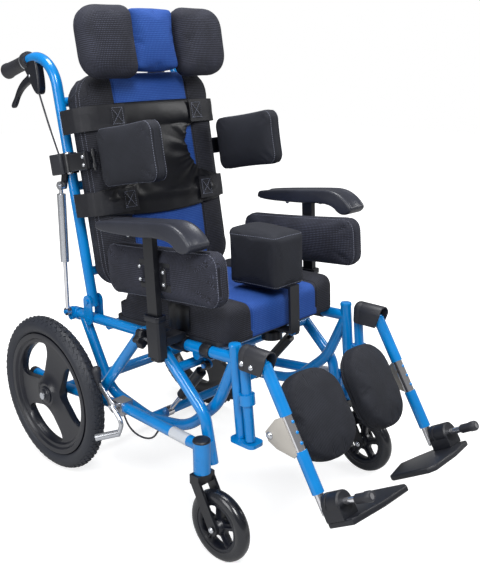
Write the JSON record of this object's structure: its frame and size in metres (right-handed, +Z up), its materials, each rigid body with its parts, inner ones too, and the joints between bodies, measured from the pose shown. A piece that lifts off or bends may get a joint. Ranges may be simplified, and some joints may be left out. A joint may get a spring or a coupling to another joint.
{
  "type": "wheelchair",
  "caption": "Attendant-pushed positioning wheelchair with a tilting seat, reclining padded back, elevating legrests, padded supports and swivel casters.",
  "frame": {"origin": "floor point under the middle of the chair", "axes": "+Z up, front of the chair faces -Y, +X towards the user's left"},
  "size_m": [0.5886, 1.1356, 1.12],
  "materials": {
    "blue_tube": "gloss azure powder coat on tube",
    "bright_steel": "bright plated steel",
    "black_metal": "satin black paint",
    "black_plastic": "moulded nylon",
    "grip_rubber": "soft moulded rubber",
    "tyre": "knobbly tyre",
    "pad_fabric": "stretch fabric with mesh centres",
    "arm_foam": "moulded skin foam"
  },
  "bodies": {
    "base": {"base_rails": "blue_tube", "base_arches": "blue_tube", "base_cross_tubes": "blue_tube", "pivot_pins": "bright_steel", "brake_mounts": "black_metal", "brake_cable": "grip_rubber"},
    "seat": {"seat_tubes": "blue_tube", "seat_rockers": "blue_tube", "seat_cross_tubes": "blue_tube", "seat_pan": "black_plastic", "seat_cushion": "pad_fabric", "arm_sockets": "black_plastic", "back_hinges": "bright_steel"},
    "tilt_cylinders": {"tilt_cylinders": "black_metal"},
    "tilt_rods": {"tilt_rods": "bright_steel"},
    "back": {"back_canes": "blue_tube", "back_cross_tubes": "blue_tube", "back_cushion": "pad_fabric", "vest_panel": "pad_fabric", "push_grips": "grip_rubber", "trunk_clamps": "black_metal", "handle_cables": "grip_rubber"},
    "recline_rods": {"recline_rods": "bright_steel"},
    "recline_cylinders": {"recline_cylinders": "black_metal"},
    "headrest": {"headrest_stem": "black_metal", "headrest_pads": "pad_fabric"},
    "pommel": {"pommel_bar": "black_metal", "pommel_pad": "pad_fabric"},
    "rear_wheel_left": {"rear_wheel_left": "black_plastic", "rear_tyre_left": "tyre"},
    "caster_fork_left": {"caster_fork_left": "black_metal"},
    "caster_wheel_left": {"caster_wheel_left": "black_plastic"},
    "brake_lever_left": {"brake_lever_left": "bright_steel"},
    "handle_lever_left": {"handle_lever_left": "black_plastic"},
    "trunk_pad_left": {"trunk_pad_left": "pad_fabric"},
    "armrest_left": {"arm_post_left": "black_metal", "arm_pad_left": "arm_foam", "hip_pad_left": "pad_fabric"},
    "hanger_left": {"hanger_left": "blue_tube"},
    "leg_left": {"leg_sleeves_left": "blue_tube", "calf_bracket_left": "bright_steel"},
    "calf_pad_left": {"calf_pad_left": "pad_fabric"},
    "foot_left": {"foot_stem_left": "black_metal"},
    "footplate_left": {"footplate_left": "black_plastic"},
    "rear_wheel_right": {"rear_wheel_right": "black_plastic", "rear_tyre_right": "tyre"},
    "caster_fork_right": {"caster_fork_right": "black_metal"},
    "caster_wheel_right": {"caster_wheel_right": "black_plastic"},
    "brake_lever_right": {"brake_lever_right": "bright_steel"},
    "handle_lever_right": {"handle_lever_right": "black_plastic"},
    "trunk_pad_right": {"trunk_pad_right": "pad_fabric"},
    "armrest_right": {"arm_post_right": "black_metal", "arm_pad_right": "arm_foam", "hip_pad_right": "pad_fabric"},
    "hanger_right": {"hanger_right": "blue_tube"},
    "leg_right": {"leg_sleeves_right": "blue_tube", "calf_bracket_right": "bright_steel"},
    "calf_pad_right": {"calf_pad_right": "pad_fabric"},
    "foot_right": {"foot_stem_right": "black_metal"},
    "footplate_right": {"footplate_right": "black_plastic"}
  },
  "joints": [
    {"name": "seat_tilt", "type": "hinge", "parent": "base", "child": "seat", "pos_m": [0, 0.021, 0.436], "axis": [-1, 0, 0], "range_deg": [0, 20]},
    {"name": "tilt_cylinder_swing", "type": "hinge", "parent": "base", "child": "tilt_cylinders", "pos_m": [0, -0.091, 0.366], "axis": [-1, 0, 0], "range_deg": [0, 21.05]},
    {"name": "tilt_rod_stroke", "type": "slide", "parent": "tilt_cylinders", "child": "tilt_rods", "axis": [0, 0.6457, -0.7636], "range_m": [-0.04634, 0.0005]},
    {"name": "back_recline", "type": "hinge", "parent": "seat", "child": "back", "pos_m": [0, 0.263, 0.448], "axis": [-1, 0, 0], "range_deg": [0, 50]},
    {"name": "recline_rod_swing", "type": "hinge", "parent": "seat", "child": "recline_rods", "pos_m": [0, 0.335, 0.41], "axis": [-1, 0, 0], "range_deg": [0, 49.24]},
    {"name": "recline_cylinder_stroke", "type": "slide", "parent": "recline_rods", "child": "recline_cylinders", "axis": [0, -0.0287, 0.9996], "range_m": [-0.06904, 0.0005]},
    {"name": "headrest_height", "type": "slide", "parent": "back", "child": "headrest", "axis": [0, 0.1736, 0.9848], "range_m": [0, 0.08]},
    {"name": "pommel_reach", "type": "slide", "parent": "seat", "child": "pommel", "axis": [0, -0.9989, 0.0471], "range_m": [0, 0.05]},
    {"name": "rear_wheel_spin_left", "type": "hinge", "parent": "base", "child": "rear_wheel_left", "pos_m": [0.261, 0.357, 0.2], "axis": [1, 0, 0], "continuous": true},
    {"name": "caster_swivel_left", "type": "hinge", "parent": "base", "child": "caster_fork_left", "pos_m": [0.258, -0.185, 0.184], "axis": [0, 0, 1], "continuous": true},
    {"name": "caster_spin_left", "type": "hinge", "parent": "caster_fork_left", "child": "caster_wheel_left", "pos_m": [0.258, -0.237, 0.079], "axis": [1, 0, 0], "continuous": true},
    {"name": "wheel_lock_left", "type": "hinge", "parent": "base", "child": "brake_lever_left", "pos_m": [0.25, 0.127, 0.23], "axis": [1, 0, 0], "range_deg": [0, 11.5]},
    {"name": "handle_squeeze_left", "type": "hinge", "parent": "back", "child": "handle_lever_left", "pos_m": [0.188, 0.44824, 0.96874], "axis": [1, 0, 0], "range_deg": [0, 20], "stiffness_Nm_per_rad": 0.6, "springref_deg": -17.19},
    {"name": "trunk_pad_swing_left", "type": "hinge", "parent": "back", "child": "trunk_pad_left", "pos_m": [0.205, 0.20114, 0.794], "axis": [0, 0.1736, 0.9848], "range_deg": [0, 90]},
    {"name": "armrest_height_left", "type": "slide", "parent": "seat", "child": "armrest_left", "axis": [0, 0.0471, 0.9989], "range_m": [0, 0.06]},
    {"name": "legrest_swing_left", "type": "hinge", "parent": "seat", "child": "hanger_left", "pos_m": [0.194, -0.25449, 0.35], "axis": [0, 0.0975, 0.9952], "range_deg": [0, 90]},
    {"name": "leg_elevation_left", "type": "hinge", "parent": "hanger_left", "child": "leg_left", "pos_m": [0.194, -0.287, 0.439], "axis": [-1, 0, 0], "range_deg": [-10, 50]},
    {"name": "calf_pad_rock_left", "type": "hinge", "parent": "leg_left", "child": "calf_pad_left", "pos_m": [0.106, -0.32861, 0.3003], "axis": [1, 0, 0], "range_deg": [-12, 12]},
    {"name": "foot_length_left", "type": "slide", "parent": "leg_left", "child": "foot_left", "axis": [0, -0.5225, -0.8526], "range_m": [0, 0.045]},
    {"name": "footplate_flip_left", "type": "hinge", "parent": "foot_left", "child": "footplate_left", "pos_m": [0.194, -0.46592, 0.19679], "axis": [0, 0.8526, -0.5225], "range_deg": [0, 30]},
    {"name": "rear_wheel_spin_right", "type": "hinge", "parent": "base", "child": "rear_wheel_right", "pos_m": [-0.261, 0.357, 0.2], "axis": [1, 0, 0], "continuous": true},
    {"name": "caster_swivel_right", "type": "hinge", "parent": "base", "child": "caster_fork_right", "pos_m": [-0.258, -0.185, 0.184], "axis": [0, 0, 1], "continuous": true},
    {"name": "caster_spin_right", "type": "hinge", "parent": "caster_fork_right", "child": "caster_wheel_right", "pos_m": [-0.258, -0.237, 0.079], "axis": [1, 0, 0], "continuous": true},
    {"name": "wheel_lock_right", "type": "hinge", "parent": "base", "child": "brake_lever_right", "pos_m": [-0.25, 0.127, 0.23], "axis": [1, 0, 0], "range_deg": [0, 11.5]},
    {"name": "handle_squeeze_right", "type": "hinge", "parent": "back", "child": "handle_lever_right", "pos_m": [-0.188, 0.44824, 0.96874], "axis": [1, 0, 0], "range_deg": [0, 20], "stiffness_Nm_per_rad": 0.6, "springref_deg": -17.19},
    {"name": "trunk_pad_swing_right", "type": "hinge", "parent": "back", "child": "trunk_pad_right", "pos_m": [-0.205, 0.20114, 0.794], "axis": [0, -0.1736, -0.9848], "range_deg": [0, 90]},
    {"name": "armrest_height_right", "type": "slide", "parent": "seat", "child": "armrest_right", "axis": [0, 0.0471, 0.9989], "range_m": [0, 0.06]},
    {"name": "legrest_swing_right", "type": "hinge", "parent": "seat", "child": "hanger_right", "pos_m": [-0.194, -0.25449, 0.35], "axis": [0, -0.0975, -0.9952], "range_deg": [0, 90]},
    {"name": "leg_elevation_right", "type": "hinge", "parent": "hanger_right", "child": "leg_right", "pos_m": [-0.194, -0.287, 0.439], "axis": [-1, 0, 0], "range_deg": [-10, 50]},
    {"name": "calf_pad_rock_right", "type": "hinge", "parent": "leg_right", "child": "calf_pad_right", "pos_m": [-0.106, -0.32861, 0.3003], "axis": [1, 0, 0], "range_deg": [-12, 12]},
    {"name": "foot_length_right", "type": "slide", "parent": "leg_right", "child": "foot_right", "axis": [0, -0.5225, -0.8526], "range_m": [0, 0.045]},
    {"name": "footplate_flip_right", "type": "hinge", "parent": "foot_right", "child": "footplate_right", "pos_m": [-0.194, -0.46592, 0.19679], "axis": [0, -0.8526, 0.5225], "range_deg": [0, 30]}
  ],
  "couplings": [
    {"joint": "tilt_cylinder_swing", "follows": "seat_tilt", "ratio": 1.0274},
    {"joint": "tilt_rod_stroke", "follows": "seat_tilt", "m_per_rad": -0.13132},
    {"joint": "recline_rod_swing", "follows": "back_recline", "ratio": 0.97486},
    {"joint": "recline_cylinder_stroke", "follows": "back_recline", "m_per_rad": -0.078546}
  ]
}
